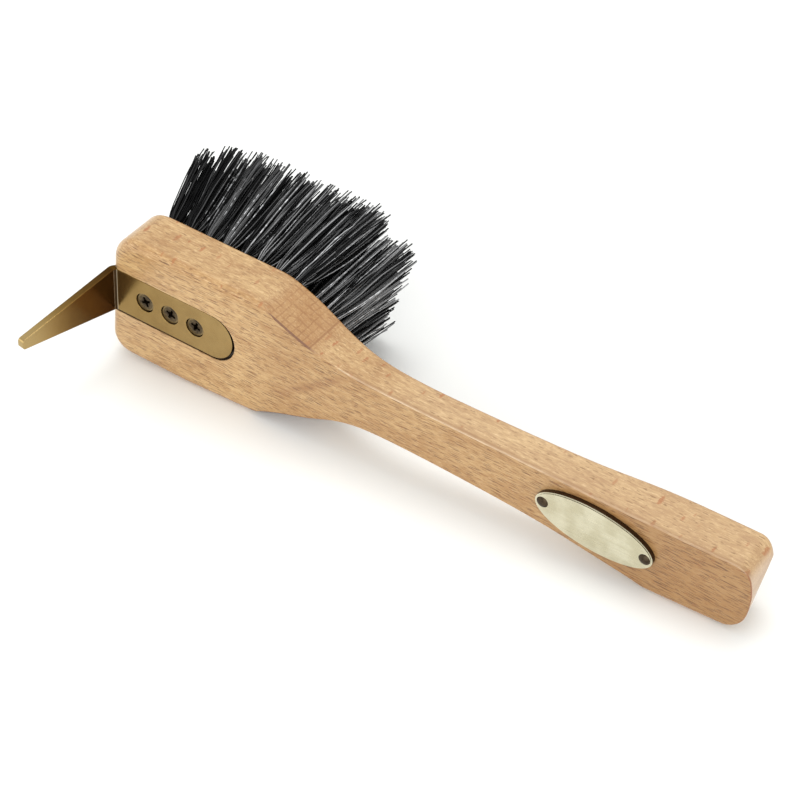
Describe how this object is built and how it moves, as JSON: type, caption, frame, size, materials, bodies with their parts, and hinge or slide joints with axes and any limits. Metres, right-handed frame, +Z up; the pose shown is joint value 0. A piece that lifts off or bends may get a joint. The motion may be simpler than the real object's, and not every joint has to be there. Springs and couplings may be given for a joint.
{
  "type": "hoof pick with brush",
  "caption": "Wooden hoof pick with a stiff bristle brush: paddle-shaped handle, bent steel pick let into the head, blank oval badge on the grip.",
  "frame": {"origin": "on the bench, under the middle of the whole tool's box", "axes": "+X from the pick's end to the butt, -Y towards the side that carries the pick and the badge, +Y along the bristles, +Z up as the tool lies on the lower side of its head"},
  "size_m": [0.2308, 0.0922, 0.0546],
  "materials": {
    "beech": "satin lacquered beech with short dark pores along the grain",
    "plated_strap": "satin antique brass plating on steel",
    "screw_bronze": "dark bronzed steel",
    "badge_brass": "pale brushed brass face with a dark edge",
    "pin_bronze": "dark bronzed steel",
    "bristle": "black nylon filament with a slight sheen",
    "anchor_wire": "drawn flat wire"
  },
  "bodies": {
    "root": {"badge_pin_1": "pin_bronze", "badge_pin_2": "pin_bronze", "bristle_tuft_1_1": "bristle", "bristle_tuft_1_2": "bristle", "bristle_tuft_1_3": "bristle", "bristle_tuft_1_4": "bristle", "bristle_tuft_1_5": "bristle", "bristle_tuft_1_6": "bristle", "bristle_tuft_1_7": "bristle", "bristle_tuft_1_8": "bristle", "bristle_tuft_2_1": "bristle", "bristle_tuft_2_2": "bristle", "bristle_tuft_2_3": "bristle", "bristle_tuft_2_4": "bristle", "bristle_tuft_2_5": "bristle", "bristle_tuft_2_6": "bristle", "bristle_tuft_2_7": "bristle", "bristle_tuft_2_8": "bristle", "bristle_tuft_3_1": "bristle", "bristle_tuft_3_2": "bristle", "bristle_tuft_3_3": "bristle", "bristle_tuft_3_4": "bristle", "bristle_tuft_3_5": "bristle", "bristle_tuft_3_6": "bristle", "bristle_tuft_3_7": "bristle", "bristle_tuft_3_8": "bristle", "bristle_tuft_3_9": "bristle", "bristle_tuft_4_1": "bristle", "bristle_tuft_4_2": "bristle", "bristle_tuft_4_3": "bristle", "bristle_tuft_4_4": "bristle", "bristle_tuft_4_5": "bristle", "bristle_tuft_4_6": "bristle", "bristle_tuft_4_7": "bristle", "bristle_tuft_4_8": "bristle", "bristle_tuft_4_9": "bristle", "bristle_tuft_5_1": "bristle", "bristle_tuft_5_2": "bristle", "bristle_tuft_5_3": "bristle", "bristle_tuft_5_4": "bristle", "bristle_tuft_5_5": "bristle", "bristle_tuft_5_6": "bristle", "bristle_tuft_5_7": "bristle", "bristle_tuft_5_8": "bristle", "name_badge": "badge_brass", "pick_blade": "plated_strap", "pick_screw_1": "screw_bronze", "pick_screw_2": "screw_bronze", "pick_screw_3": "screw_bronze", "tuft_anchors_1": "anchor_wire", "tuft_anchors_2": "anchor_wire", "tuft_anchors_3": "anchor_wire", "tuft_anchors_4": "anchor_wire", "tuft_anchors_5": "anchor_wire", "wood_body": "beech"}
  },
  "joints": []
}
